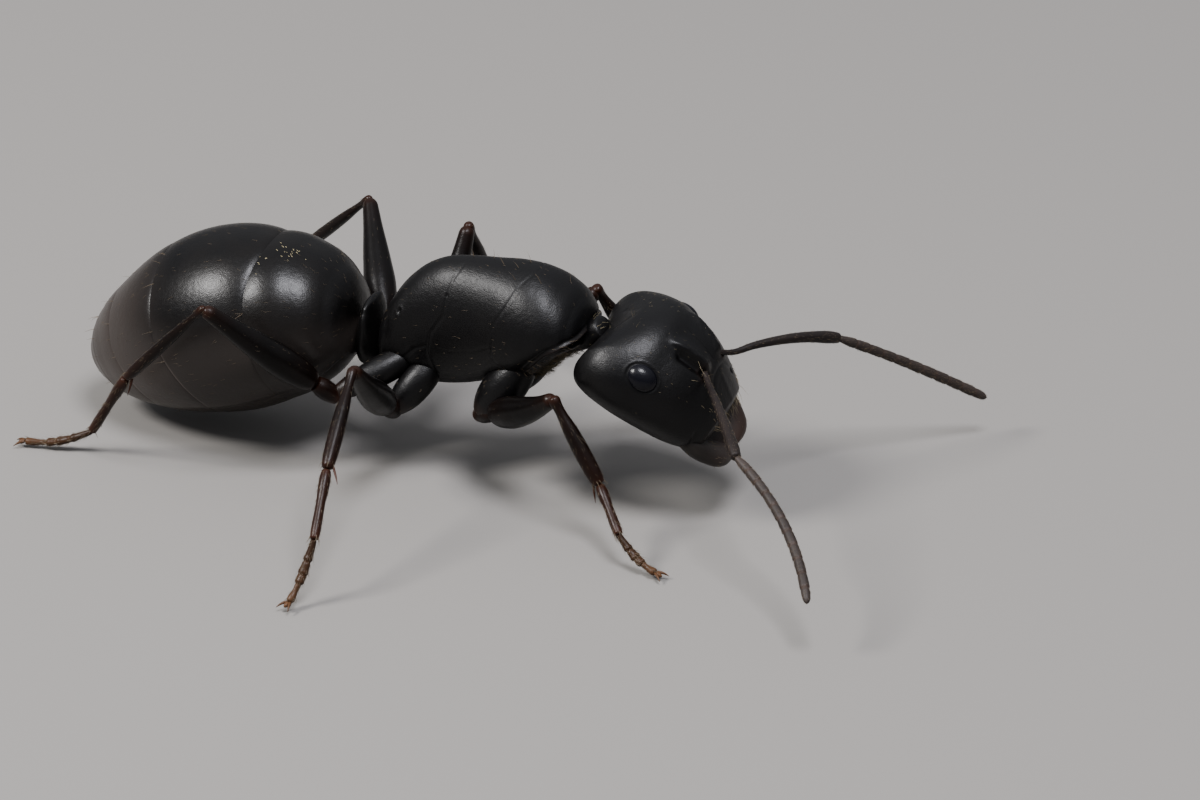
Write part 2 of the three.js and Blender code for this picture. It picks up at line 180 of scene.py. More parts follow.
def between_rows(rows, places):
    """Reads a table of sections at any places. Between two rows each value is the cubic that leaves and
    reaches them at the slope of the rows on both sides, so a few rows make one smooth outline."""
    rows = np.asarray(rows, float)
    x, y = rows[:, 0], rows[:, 1:]
    slope = np.gradient(y, x, axis=0)
    low = np.clip(np.searchsorted(x, places, side="right") - 1, 0, len(x) - 2)
    gap = (x[low + 1] - x[low])[:, None]
    f = (places - x[low])[:, None] / gap
    g = 1 - f
    return (1 + 2 * f) * g * g * y[low] + f * f * (3 - 2 * f) * y[low + 1] + gap * f * g * (
        g * slope[low] - f * slope[low + 1])


def unit(v):
    """The same directions, each of length 1."""
    return v / np.maximum(np.linalg.norm(v, axis=-1, keepdims=True), 1e-12)


def bend(start, end, pull=None, steps=240):
    """Points of a parabola that leans towards pull: (1-t)^2 start + 2t(1-t) pull + t^2 end."""
    t = np.linspace(0, 1, steps)[:, None]
    pull = (start + end) / 2 if pull is None else pull
    return (1 - t) ** 2 * start + 2 * t * (1 - t) * pull + t**2 * end


def crowded(count, share=0.93):
    """Places from 0 to 1 that stand closer near both ends: t less share times sin(2 pi t) / (2 pi)."""
    t = np.linspace(0, 1, count)
    return t - share * np.sin(2 * np.pi * t) / (2 * np.pi)


def closing(places, ends):
    """1 along a tube, and down to 0 at each end like a quarter circle over the `ends` shares."""
    first, last = (np.clip(gap, 0, 1) for gap in (places / ends[0], (1 - places) / ends[1]))
    return np.sqrt(np.clip(1 - (1 - first) ** 2, 0, 1) * np.clip(1 - (1 - last) ** 2, 0, 1))[:, None]


def rounded(rows, size=1):
    """Rows of place and half-thickness as the rows of a round section, as thick again as `size` says."""
    return [[place, r * size, r * size, 0, -r * size] for place, r in rows]


def carry(path, rows, along, around, ends=(0.1, 0.1), places=None):
    """An oval carried along a path, as a grid of points, ring by ring. At place s and turn a the point is
    path(s) + side wide(s) cos a + up h, where h goes from the belt, the height of the widest part, by
    sin a towards the top or the bottom. The oval closes over the `ends` shares."""
    places = crowded(along) if places is None else places
    wide, top, belt, bottom = between_rows(rows, places).T[:, :, None]
    shut = closing(places, ends)
    steps = np.linalg.norm(np.diff(path, axis=0), axis=1)
    walked = np.concatenate([[0], np.cumsum(steps)]) / steps.sum()
    centre = np.stack([np.interp(places, walked, path[:, k]) for k in range(3)], 1)
    ahead = np.gradient(path, axis=0)
    ahead = unit(np.stack([np.interp(places, walked, ahead[:, k]) for k in range(3)], 1))
    side = unit(np.cross(Z, ahead))
    up = np.cross(ahead, side)
    turn = np.arange(around) * 2 * np.pi / around
    c, s = np.cos(turn), np.sin(turn)
    middle = (top + bottom) / 2
    height = np.where(s > 0, belt + (top - belt) * s, belt + (belt - bottom) * s)
    height = middle + (height - middle) * shut
    return centre[:, None] + side[:, None] * (wide * shut * c)[:, :, None] + up[:, None] * height[:, :, None]


def outward(grid):
    """The way out of a ring grid at each point: the step around it crossed with the step along it."""
    around = np.roll(grid, -1, 1) - np.roll(grid, 1, 1)
    out = unit(np.cross(around, np.gradient(grid, axis=0)))
    out[0], out[-1] = unit(out[1].mean(0)), unit(out[-2].mean(0))
    return out


def swell(grid, height):
    """Moves each point of a ring grid out of the surface by its own height."""
    height = np.broadcast_to(height, grid.shape[:2]).copy()
    height[0], height[-1] = height[0].mean(), height[-1].mean()
    return grid + outward(grid) * height[:, :, None]


def away_from(points, line):
    """The distance of each point from a line drawn through a few places."""
    line = np.asarray(line, float)
    best = np.full(points.shape[:-1], np.inf)
    for a, b in zip(line[:-1], line[1:]):
        f = np.clip(((points - a) @ (b - a)) / ((b - a) @ (b - a)), 0, 1)
        best = np.minimum(best, np.linalg.norm(points - (a + f[..., None] * (b - a)), axis=-1))
    return best


def bell(distance, width):
    """1 where the distance is 0, falling off like a bell of the given half-width."""
    return np.exp(-((distance / width) ** 2))


def ramp(values, low, high):
    """0 below low, 1 above high, and an even S between them."""
    f = np.clip((values - low) / (high - low), 0, 1)
    return f * f * (3 - 2 * f)


# %% Meshes from grids


def closed(grid):
    """The points and faces of a ring grid whose first and last rings have shrunk to a point each."""
    rings, around = grid.shape[0] - 2, grid.shape[1]
    points = np.concatenate([grid[:1, 0], grid[1:-1].reshape(-1, 3), grid[-1:, 0]])
    i = 1 + np.arange(rings * around).reshape(rings, around)
    j = np.roll(i, -1, 1)
    quads = np.stack([i[:-1], j[:-1], j[1:], i[1:]], -1).reshape(-1, 4)
    last = len(points) - 1
    start = np.stack([np.zeros(around, int), j[0], i[0]], 1)
    end = np.stack([np.full(around, last), i[-1], j[-1]], 1)
    return points, [quads, start, end]


def all_round(values, around):
    """One value for each ring, given to every point of the ring."""
    return np.repeat(values[:, None], around, axis=1)


def per_point(grid_values):
    """Values of a ring grid in the order of the points that closed() gives."""
    return np.concatenate([grid_values[:1, 0], grid_values[1:-1].ravel(), grid_values[-1:, 0]])


def joined(shapes):
    """Several shapes as one: their points one after the other, and their faces counted on."""
    points, faces, count = [], [], 0
    for p, parts in shapes:
        points.append(p)
        faces += [f + count for f in parts]
        count += len(p)
    return np.concatenate(points), faces


def make_piece(name, shape, finish, stands_for=(), tint=None, flat=None):
    """Puts a shape in millimetres into a mesh of the frame, with its finish, and lets it ride and stand in.
    `tint` is how thin the shell is at each point, with a painted highlight on the collar rim and a painted
    reflection on the gaster's belly, and `flat` where each point lies on an unwrapped skin."""
    points, faces = shape
    mesh = bpy.data.meshes.new(name)
    mesh.vertices.add(len(points))
    mesh.vertices.foreach_set("co", ((points + MIDDLE) * MM).astype(np.float32).ravel())
    sizes = np.concatenate([np.full(len(f), f.shape[1]) for f in faces])
    mesh.loops.add(int(sizes.sum()))
    mesh.loops.foreach_set("vertex_index", np.concatenate([f.ravel() for f in faces]).astype(np.int32))
    mesh.polygons.add(len(sizes))
    mesh.polygons.foreach_set("loop_start", (np.cumsum(sizes) - sizes).astype(np.int32))
    mesh.polygons.foreach_set("use_smooth", np.ones(len(sizes), bool))
    mesh.update(calc_edges=True)
    tint = np.zeros(len(points)) if tint is None else tint
    mesh.attributes.new("tint", "FLOAT", "POINT").data.foreach_set("value", tint.astype(np.float32))
    if flat is not None:
        corners = np.concatenate([f.ravel() for f in faces])
        mesh.uv_layers.new(name="OFBake").data.foreach_set("uv", flat[corners].astype(np.float32).ravel())
    mesh.materials.append(finish)
    piece = bpy.data.objects.new(name, mesh)
    bpy.context.scene.collection.objects.link(piece)
    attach(piece, "root")
    if stands_for:
        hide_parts(*stands_for)
    made_pieces[name] = int((sizes - 2).sum())
    return piece


def limb(start, end, rows, along, around, pull=None, ends=(0.06, 0.06)):
    """A round rod that follows rows of place and half-thickness, bowed towards a pull if it has one."""
    return carry(bend(start, end, pull), rounded(rows), along, around, ends)


made_pieces = {}
skins = {}

# %% Floor
FLOOR_HALF, FLOOR_COLOUR, FLOOR_ROUGH = 2.0, (0.165, 0.157, 0.146, 1), 0.8
floor_mesh = bpy.data.meshes.new("floor")
corners = ((-1, -1), (1, -1), (1, 1), (-1, 1))
floor_mesh.from_pydata([(x * FLOOR_HALF, y * FLOOR_HALF, 0) for x, y in corners], [], [(0, 1, 2, 3)])
floor = bpy.data.objects.new("floor", floor_mesh)
bpy.context.scene.collection.objects.link(floor)
floor_paint = bpy.data.materials.new("floor_paint")
floor_paint.use_nodes = True
floor_surface = floor_paint.node_tree.nodes["Principled BSDF"]
floor_surface.inputs["Base Color"].default_value = FLOOR_COLOUR
floor_surface.inputs["Roughness"].default_value = FLOOR_ROUGH
floor_mesh.materials.append(floor_paint)
print("floor:", 2 * FLOOR_HALF, "m square")

# %% [markdown]
# ## Shell finishes
# Ant shell is a dark, clear-topped horn. Its colour barely shows; what the eye reads is the shine, which is
# broken by a net of microscopic cells a few hundredths of a millimetre wide. An image would blur this close,
# so nodes work each finish out from the place in the mesh: black or brown underneath, slow blotches, a redder
# tint where the shell is thin, and the cell net and slow waves as bumps. The same tint also lays a painted
# highlight along the collar rim and a painted reflection of the floor on the gaster's belly.

# %% Finishes
BLOTCH_SIZE, FINE_SIZE, ROUGH_SPREAD = 0.8, 0.05, 0.06


def shell(name, dark, warm, thin, rough, cell=0.03, cell_depth=0.0008, wave=0.25, wave_depth=0.001,
          specular=0.2):
    """A shell finish. `dark` and `warm` blotches mix by a slow noise, `thin` shows where the tint is 1. A net
    of cells and slow waves, with sizes and depths in millimetres, stand up as a bump."""
    finish = bpy.data.materials.new(name)
    finish.use_nodes = True
    tree = finish.node_tree
    surface = tree.nodes["Principled BSDF"]
    surface.inputs["Specular IOR Level"].default_value = specular
    place = tree.nodes.new("ShaderNodeTexCoord").outputs["Object"]
    blotch, fine, waves = (tree.nodes.new("ShaderNodeTexNoise") for _ in range(3))
    for node, size, detail in ((blotch, BLOTCH_SIZE, 3), (fine, FINE_SIZE, 2), (waves, wave, 2)):
        node.inputs["Scale"].default_value = 1 / (size * MM)
        node.inputs["Detail"].default_value = detail
        link(tree, (place, node.inputs["Vector"]))
    net = tree.nodes.new("ShaderNodeTexVoronoi")
    net.inputs["Scale"].default_value = 1 / (cell * MM)
    link(tree, (place, net.inputs["Vector"]))
    mottle, tinted = (tree.nodes.new("ShaderNodeMix") for _ in range(2))
    mottle.data_type = tinted.data_type = "RGBA"
    mottle.inputs[6].default_value, mottle.inputs[7].default_value = (*dark, 1), (*warm, 1)
    tinted.inputs[7].default_value = (*thin, 1)
    mark = tree.nodes.new("ShaderNodeAttribute")
    mark.attribute_name = "tint"
    steep, gloss = (tree.nodes.new("ShaderNodeMapRange") for _ in range(2))
    set_range(steep, "From", 0.35, 0.65)
    set_range(gloss, "To", rough - ROUGH_SPREAD, rough + ROUGH_SPREAD)
    low, high = (tree.nodes.new("ShaderNodeBump") for _ in range(2))
    low.inputs["Distance"].default_value = wave_depth * MM
    high.inputs["Distance"].default_value = cell_depth * MM
    link(tree, (blotch.outputs[0], steep.inputs[0]), (steep.outputs[0], mottle.inputs[0]),
         (mottle.outputs[2], tinted.inputs[6]), (mark.outputs["Fac"], tinted.inputs[0]),
         (tinted.outputs[2], surface.inputs["Base Color"]), (fine.outputs[0], gloss.inputs[0]),
         (gloss.outputs[0], surface.inputs["Roughness"]), (waves.outputs[0], low.inputs["Height"]),
         (net.outputs["Distance"], high.inputs["Height"]), (low.outputs[0], high.inputs["Normal"]),
         (high.outputs[0], surface.inputs["Normal"]))
    return finish


LEG_COLOURS = (0.0009, 0.0006, 0.0005), (0.0018, 0.0011, 0.0009)
LEG_GRAIN = {"cell": 0.02, "cell_depth": 0.0012, "wave": 0.1, "wave_depth": 0.003, "specular": 0.13}
# the third colour shows where the shell is thin, and along the collar rim it is also a painted highlight
BODY_SHELL = shell("body_shell", (0.0005, 0.0004, 0.0006), (0.0013, 0.0011, 0.0011), (0.05, 0.021, 0.011),
                   0.4, cell=0.024, cell_depth=0.0019, wave=0.1, wave_depth=0.0045)
JAW_SHELL = shell("jaw_shell", (0.0095, 0.008, 0.0068), (0.014, 0.0115, 0.0098), (0.05, 0.017, 0.009),
                  0.42, cell=0.03, cell_depth=0.0012, wave=0.12, wave_depth=0.004)
# the third colour shows the thin shell at the lips, and on the belly it is also a painted reflection of the
# floor
GASTER_SHELL = shell("gaster_shell", (0.0007, 0.0006, 0.0007), (0.0024, 0.0018, 0.0014), (0.11, 0.09, 0.08),
                     0.31, cell=0.02, cell_depth=0.0012, wave_depth=0.0032, wave=0.09)
LEG_SHELL = shell("leg_shell", *LEG_COLOURS, (0.045, 0.0145, 0.007), 0.33, **LEG_GRAIN)
FOOT_SHELL = shell("foot_shell", *LEG_COLOURS, (0.13, 0.06, 0.026), 0.36, **LEG_GRAIN)
SCAPE_SHELL = shell("scape_shell", (0.0066, 0.0046, 0.0042), (0.011, 0.0078, 0.0068), (0.03, 0.008, 0.004),
                    0.46, cell=0.012, cell_depth=0.001, specular=0.15)
FEELER_SHELL = shell("feeler_shell", (0.016, 0.0115, 0.0098), (0.026, 0.019, 0.016), (0.09, 0.045, 0.028),
                     0.52, cell=0.012, cell_depth=0.001)
EYE_SHELL = shell("eye_shell", (0.0016, 0.0016, 0.003), (0.0022, 0.0022, 0.004), (0.03, 0.03, 0.03),
                  0.25, cell=0.018, cell_depth=0.001, wave_depth=0.0)
HAIR = shell("hair", (0.075, 0.056, 0.036), (0.12, 0.09, 0.058), (0.42, 0.37, 0.22),
             0.4, cell_depth=0.0, wave_depth=0.0)
print("finishes:", [m.name for m in bpy.data.materials if m.name.endswith(("shell", "hair"))])

# %% [markdown]
# ## Head
# The head is one rigid capsule, widest just behind the eyes, that hangs from the neck with its face turned
# down. Its ridges and pits are easy to place while it lies level, so it is worked out that way, as an oval
# carried from the back corners to the mouth plate, and turned with one matrix afterwards.

# %% The head's own frame


def turning(roll, pitch, yaw):
    """The matrix that rolls about X, then pitches about Y, then yaws about Z, by angles in degrees."""
    angles = [math.radians(q) for q in (roll, pitch, yaw)]
    (cr, sr), (cp, sp), (cy, sy) = ((math.cos(q), math.sin(q)) for q in angles)
    about_x = np.array([[1, 0, 0], [0, cr, -sr], [0, sr, cr]])
    about_y = np.array([[cp, 0, sp], [0, 1, 0], [-sp, 0, cp]])
    about_z = np.array([[cy, -sy, 0], [sy, cy, 0], [0, 0, 1]])
    return about_z @ about_y @ about_x


FACE = turning(**HEAD_TURN)


def on_head(points):
    """Points given as so far ahead of the neck, out to the left and up, turned with the head."""
    return np.asarray(points, float) @ FACE.T + NECK_JOINT


HEAD_ROWS = [  # place, half-width, top, belt, bottom
    [0, 0.8, 0.36, 0, -0.61], [0.06, 1.1, 0.63, -0.1, -0.75], [0.15, 1.28, 0.91, -0.12, -0.79],
    [0.3, 1.36, 1.1, -0.07, -0.82], [0.45, 1.32, 1.07, -0.02, -0.84], [0.6, 1.26, 0.99, 0.02, -0.82],
    [0.75, 1.15, 0.82, 0, -0.78], [0.88, 1.01, 0.61, -0.04, -0.67], [1, 0.8, 0.38, -0.06, -0.48],
]
HEAD_GRID = (300, 300)
LOBE_TRAIL, LOBE_OUT, LOBE_SHARE = 0.22, 0.75, 0.42
# places on the left half of the level head: ahead, out and up
CARINA = [[1.1, 0.49], [1.45, 0.42], [1.8, 0.32]]
FOSSA = [[1.38, 0.57, 0.93], [1.6, 0.51, 0.87], [1.78, 0.44, 0.8]]
CLYPEUS_ROWS = [[0, 2.0, 0, 0.8], [0.3, 2.04, 0.25, 0.77], [0.6, 2.2, 0.44, 0.64], [1, 2.6, 0.6, 0.36]]
CLYPEUS = between_rows(CLYPEUS_ROWS, np.linspace(0, 1, 16))
CHEEK, CLYPEUS_PIT = [0.62, 1.3, 0.12], [2.24, 0.47, 0.62]
OCCIPUT_FOLD = [[0.18, 0.34, 0.37], [0.35, 0.10, 0.70]]
JAW_FOLD = [[2.34, 1.0, 0.12], [2.42, 0.97, -0.3], [2.4, 0.7, -0.6]]


def head_skin():
    """The head capsule lying level. Its back corners trail behind the hollow between them by the square of
    their distance out, fading along the head and towards the crown."""
    grid = carry(bend(X * HEAD_BACK, X * HEAD_LENGTH), HEAD_ROWS, *HEAD_GRID, (0.145, 0.035))
    place = np.clip((grid[..., 0] - HEAD_BACK) / (HEAD_LENGTH - HEAD_BACK), 0, 1)
    fade = np.clip(1 - place / LOBE_SHARE, 0, 1) ** 2 * (1 - 0.6 * ramp(grid[..., 2], 0.2, 1.1))
    grid[..., 0] -= LOBE_TRAIL * fade * np.minimum(1.3, np.abs(grid[..., 1]) / LOBE_OUT) ** 2
    return grid


def head_marks(grid):
    """Heights of the head's marks, the same on both sides, and how red the shell is. Each mark is a height
    times a bell of the distance from its line or place: the frontal ridges, which fall away steeply outwards,
    the hollows in which the feelers turn, their sockets, the mouth plate's border and keel, the groove down
    the brow, the eye rims, the cheeks, and the folds and pits at the back, the mouth plate and the jaws."""
    ahead, out, up = grid[..., 0], np.abs(grid[..., 1]), grid[..., 2]
    half = np.stack([ahead, out, up], -1)
    above = ramp(up, 0.0, 0.2)
    socket = np.linalg.norm(half - np.array(SOCKET) - [0, 0.02, 0], axis=-1)
    turned = (half - np.array(EYE["place"])) @ turning(math.degrees(EYE["lean"]), 0, 0).T
    eye = np.hypot(turned[..., 0] / EYE["long"], turned[..., 1] / EYE["wide"])
    eye = np.where(out > 0.75, eye, 9)
    border = away_from(half, CLYPEUS)
    lumps = 1 + 0.06 * np.sin(ahead * 31) * np.sin(out * 47 + ahead * 12)
    crest = out - np.interp(ahead, *np.transpose(CARINA))
    crest = bell(crest, np.where(crest > 0, 0.05, 0.16)) * ramp(ahead, 0.95, 1.3) * ramp(ahead, 1.95, 1.75)
    height = 0.092 * lumps * crest * above - 0.085 * bell(away_from(half, FOSSA), 0.09)
    height += 0.008 * bell(socket - 0.12, 0.035) - 0.04 * bell(socket, 0.07)
    height += -0.006 * bell(border, 0.024) + 0.002 * bell(border - 0.08, 0.05)
    height += above * (0.007 * bell(out, 0.07) * ramp(ahead, 2.02, 2.2)
                       - 0.014 * bell(out, 0.022) * ramp(ahead, 1.1, 1.3) * (ahead < 1.86))
    height += -0.01 * bell(eye - 1.0, 0.055) + 0.007 * bell(eye - 1.15, 0.08)
    height += 0.05 * bell(np.linalg.norm(half - CHEEK, axis=-1), 0.4)
    height -= 0.05 * bell(np.linalg.norm(half - CLYPEUS_PIT, axis=-1), 0.055)
    height -= 0.012 * bell(away_from(half, OCCIPUT_FOLD), 0.05)
    height -= 0.03 * bell(away_from(half, JAW_FOLD), 0.035)
    reddish = 0.05 * bell(socket - 0.13, 0.05) + 0.1 * ramp(ahead, 2.45, 2.6)
    return height, np.clip(reddish, 0, 1)


head_grid = head_skin()
head_height, head_red = head_marks(head_grid)
head_grid = swell(head_grid, head_height)
skins["head"] = on_head(head_grid)
make_piece("head_capsule", closed(skins["head"]), BODY_SHELL, ["head"], per_point(head_red))
print("head capsule:", made_pieces["head_capsule"], "triangles")

# %% [markdown]
# ## Eyes and jaws
# Each eye is a tilted oval lens of some hundreds of tiny facets, sunk a little into its rim. The facets are
# far finer than the mesh, so the cell net of the finish stands for them. The jaws are curved blades with five
# blunt teeth that close across each other under the mouth plate. A blade is not round along a line like a
# leg, so it is worked out from its outer and inner edge, with an oval section between the two.

# %% Eyes
UNIT_ROWS, EYE_GRID = [[0, 1, 1, 0, -1], [1, 1, 1, 0, -1]], (70, 72)
for side, hand in SIDES.items():
    lean = turning(math.degrees(-hand * EYE["lean"]), 0, 0)
    ball = carry(bend(-X, X), UNIT_ROWS, *EYE_GRID, (0.5, 0.5))
    ball = (ball * [EYE["long"], EYE["wide"], EYE["proud"]]) @ lean.T + np.array(EYE["place"]) * [1, hand, 1]
    make_piece(f"eye_{side}_facets", closed(on_head(ball)), EYE_SHELL, [f"eye_{side}"])
print("eyes:", [name for name in made_pieces if "eye" in name])

# %% Jaws
JAW_ROWS = [  # place, outer edge ahead and out, inner edge ahead and out, height, half-thickness
    [0, 2.12, 0.9, 2.12, 0.42, -0.18, 0.26], [0.25, 2.46, 0.965, 2.4, 0.4, -0.22, 0.25],
    [0.5, 2.76, 0.89, 2.6, 0.28, -0.26, 0.21], [0.72, 3.03, 0.68, 2.74, 0.1, -0.3, 0.16],
    [0.88, 3.12, 0.4, 2.88, -0.02, -0.33, 0.11], [1, 3.13, 0.03, 3.08, -0.02, -0.35, 0.05],
]
JAW_HINGE, JAW_TEETH, JAW_GRID = np.array([2.25, 0.75, -0.2]), 5, (150, 96)
JAW_RED_FROM = np.array([2.3, 0.7, -0.2])
MOUTH_ROWS = [[0, 0.6, 0.22, 0, -0.16], [0.4, 0.55, 0.2, 0, -0.13], [0.8, 0.34, 0.12, 0, -0.09],
              [1, 0.15, 0.05, 0, -0.04]]
MOUTH_BACK, MOUTH_TIP = np.array([2.2, 0, -0.3]), np.array([2.92, 0, -0.4])


def jaw_blade(close, lift):
    """A left jaw turned shut by an angle and raised. Its inner edge is scalloped into teeth by the absolute
    value of a sine wave, which grow towards the tip."""
    rings, around = JAW_GRID
    t = np.linspace(0, 1, rings)
    outer_x, outer_y, inner_x, inner_y, height, thick = between_rows(JAW_ROWS, t).T[:, :, None]
    turn = np.arange(around) * 2 * np.pi / around
    share = np.clip((t[:, None] - 0.5) / 0.48, 0, 1)
    scallop = np.abs(np.sin(JAW_TEETH * np.pi * share)) ** 0.6
    tooth = 0.06 * scallop * share * np.clip(-np.cos(turn), 0, 1) ** 3
    shut = closing(t, (0.08, 0.06))
    across = 0.5 + 0.5 * np.cos(turn) * shut - tooth
    edge = np.sqrt(np.clip(0.45 + 0.55 * np.cos(turn), 0.12, 1))
    grid = np.stack([inner_x + (outer_x - inner_x) * across, inner_y + (outer_y - inner_y) * across,
                     height + thick * np.sin(turn) * shut * edge + lift], -1)
    return (grid - JAW_HINGE) @ turning(0, 0, -close).T + JAW_HINGE


# side, how far it is shut in degrees, how much it is raised, and how red it is at its root
for side, close, lift, red in (("right", 0, -0.03, 0.0), ("left", 6, 0.03, 0.12)):
    hand = SIDES[side]
    blade = on_head(jaw_blade(close, lift) * [1, hand, 1])[:, ::hand]
    reach = np.clip((blade - on_head(JAW_RED_FROM * [1, hand, 1])) @ (FACE @ X) / 0.9, 0, 1)
    skins[f"jaw_{side}"] = blade
    make_piece(f"jaw_{side}", closed(blade), JAW_SHELL, [f"mandible_{side}"],
               per_point(red + 0.16 * reach**2))
mouth = carry(bend(MOUTH_BACK, MOUTH_TIP), MOUTH_ROWS, 50, 40, (0.1, 0.15))
make_piece("lower_mouth", closed(on_head(mouth)), BODY_SHELL,
           tint=np.full(len(closed(mouth)[0]), 0.1))
print("jaws:", made_pieces["jaw_left"], "triangles each")

# %% [markdown]
# ## Feelers
# A feeler is a long scape on a ball joint, an elbow, and a lash of eleven little clubs that bends down. The
# clubs are waves of height on one rod and not separate beads, because the real joints are cuffed together
# and leave no gap.

# %% Feelers
LASH_JOINTS = 11
SCAPE_GRID, LASH_GRID = (130, 32), (420, 28)
SCAPE_ROWS = [[0, 0.055], [0.03, 0.052], [0.07, 0.046], [0.12, 0.05], [0.4, 0.072], [0.75, 0.095],
              [0.93, 0.104], [1, 0.085]]
LASH_ROWS = [[0, 0.055], [0.04, 0.07], [0.3, 0.082], [0.8, 0.084], [0.95, 0.075], [1, 0.055]]
SCAPE_ARCH = [[0, 0], [0.13, -0.055], [0.3, 0.06], [0.43, 0.11], [0.68, 0.135], [0.9, 0.06], [1, 0]]


def heading(azimuth, rise):
    """The direction of a joint from its turn away from straight ahead, left positive, and its rise, in
    degrees."""
    turn, lift = math.radians(azimuth), math.radians(rise)
    return np.array([math.cos(lift) * math.cos(turn), math.cos(lift) * math.sin(turn), math.sin(lift)])


for side, hand in SIDES.items():
    pose = FEELERS[side]
    socket = on_head(np.array(SOCKET) * [1, hand, 1])
    elbow = socket + heading(*pose["scape"]) * SCAPE
    tip = elbow + heading(*pose["funiculus"]) * FUNICULUS
    line = bend(socket - heading(*pose["scape"]) * 0.06, elbow)
    line += Z * pose["arch"] * between_rows(SCAPE_ARCH, np.linspace(0, 1, len(line)))
    scape = carry(line, rounded(SCAPE_ROWS), *SCAPE_GRID, (0.03, 0.02))
    along = all_round(np.linspace(0, 1, SCAPE_GRID[0]), SCAPE_GRID[1])
    skins[f"scape_{side}"] = scape
    make_piece(f"scape_{side}_rod", closed(scape), SCAPE_SHELL, [f"scape_{side}"],
               per_point(0.15 * bell(along - 0.03, 0.04) + 0.1 * ramp(along, 0.93, 1.0)))
    middle = elbow * 0.55 + tip * 0.45 + np.array(pose["bow"])
    lash = limb(elbow - heading(*pose["scape"]) * 0.03, tip, LASH_ROWS, *LASH_GRID, middle, (0.015, 0.035))
    place = all_round(crowded(LASH_GRID[0]), LASH_GRID[1])
    joint = np.clip((place - 0.03) / 0.97, 0, 0.9999) ** 0.96 * LASH_JOINTS
    along = joint - np.floor(joint)
    inner = (joint > 0.9) & (joint < LASH_JOINTS - 0.5)
    groove = bell(along, 0.12) + 0.7 * bell(1 - along, 0.06)
    lash = swell(lash, -0.009 * inner * groove + 0.005 * (along - 0.5))
    skins[f"lash_{side}"] = lash
    make_piece(f"funiculus_{side}_lash", closed(lash), FEELER_SHELL, [f"funiculus_{side}"],
               per_point(0.15 * inner * (bell(along, 0.12) + bell(1 - along, 0.1))))
print("feelers:", made_pieces["scape_left_rod"], made_pieces["funiculus_left_lash"], "triangles")

# %% [markdown]
# ## Trunk
# The trunk is one hull that the seams between its plates cross as grooves. Separate plates would show gaps
# where the real ones are fused. The collar plate has a raised rim along its lower edge, and the flank carries
# the lines where the plates above the legs meet, a breathing hole at the rear, and a soft swelling low down
# over the gland.

# %% The hull and its seams
TRUNK_ROWS = [  # place, half-width, top, belt, bottom
    [0, 0.3, -0.22, -0.55, -1.0], [0.02, 0.46, 0.0, -0.45, -1.14], [0.07, 0.56, 0.36, -0.3, -1.2],
    [0.17, 0.62, 0.82, -0.15, -1.22], [0.28, 0.67, 1.09, -0.05, -1.22], [0.4, 0.72, 1.2, 0.0, -1.14],
    [0.53, 0.8, 1.24, 0.05, -0.98], [0.66, 0.92, 1.27, 0.1, -0.8], [0.77, 0.97, 1.22, 0.15, -0.64],
    [0.87, 0.93, 1.06, 0.2, -0.24], [0.945, 0.78, 0.82, 0.2, -0.02], [0.985, 0.56, 0.58, 0.2, 0.06],
    [1, 0.36, 0.4, 0.2, 0.12],
]
TRUNK_GRID, NECK_GRID = (340, 280), (90, 80)
SEAMS = {  # lines on the left flank, then depth and half-width
    "collar": ([[0.5, 0, 4.05], [0.43, 0.26, 4.0], [0.291, 0.517, 3.877], [0.196, 0.69, 3.692],
                [0.091, 0.792, 3.492], [-0.054, 0.844, 3.243], [-0.119, 0.869, 2.902],
                [-0.131, 0.844, 2.661], [0.05, 0.8, 2.46], [0.2, 0.74, 2.35]], 0.009, 0.02),
    "saddle": ([[-0.80, 0, 4.01], [-0.861, 0.235, 3.94], [-0.955, 0.409, 3.773], [-1.02, 0.56, 3.5]],
               0.008, 0.022),
    "flank": ([[-1.02, 0.56, 3.5], [-1.054, 0.667, 3.151], [-1.294, 0.676, 2.77], [-1.349, 0.64, 2.401],
               [-1.262, 0.503, 1.975]], 0.013, 0.022),
    "gland": ([[-1.33, 0.66, 2.55], [-1.6, 0.62, 2.42], [-1.82, 0.56, 2.2], [-1.95, 0.5, 2.0]], 0.014, 0.024),
    "plate": ([[-0.12, 0.86, 2.82], [-0.5, 0.78, 2.62], [-0.95, 0.7, 2.5], [-1.3, 0.66, 2.5]], 0.008, 0.024),
    "chest": ([[-0.1, 0.84, 2.6], [-0.4, 0.7, 2.2], [-0.75, 0.6, 1.98], [-1.2, 0.45, 1.9]], 0.013, 0.03),
}
RIM_ROWS = [  # place along the rim, then ahead, out and up
    [0, 1.39, 0, 3.14], [0.18, 1.385, 0.31, 3.12], [0.3, 1.357, 0.476, 3.09], [0.42, 1.28, 0.66, 3.06],
    [0.55, 1.14, 0.81, 3.0], [0.68, 0.97, 0.89, 2.9], [0.84, 0.72, 0.85, 2.67], [1, 0.435, 0.7, 2.4],
]
RIM = between_rows(RIM_ROWS, np.linspace(0, 1, 30))
BREATH, GLAND = np.array([-1.93, 0.52, 3.02]), np.array([-1.6, 0.6, 2.15])
NECK_ROWS = [[0, 0.42, 0.4, 0, -0.3], [0.15, 0.38, 0.36, 0, -0.24], [0.4, 0.28, 0.3, 0, -0.12],
             [0.7, 0.27, 0.28, 0, -0.2], [1, 0.26, 0.22, 0, -0.26]]
NECK_INTO_HEAD = [0.12, 0, 0.06]


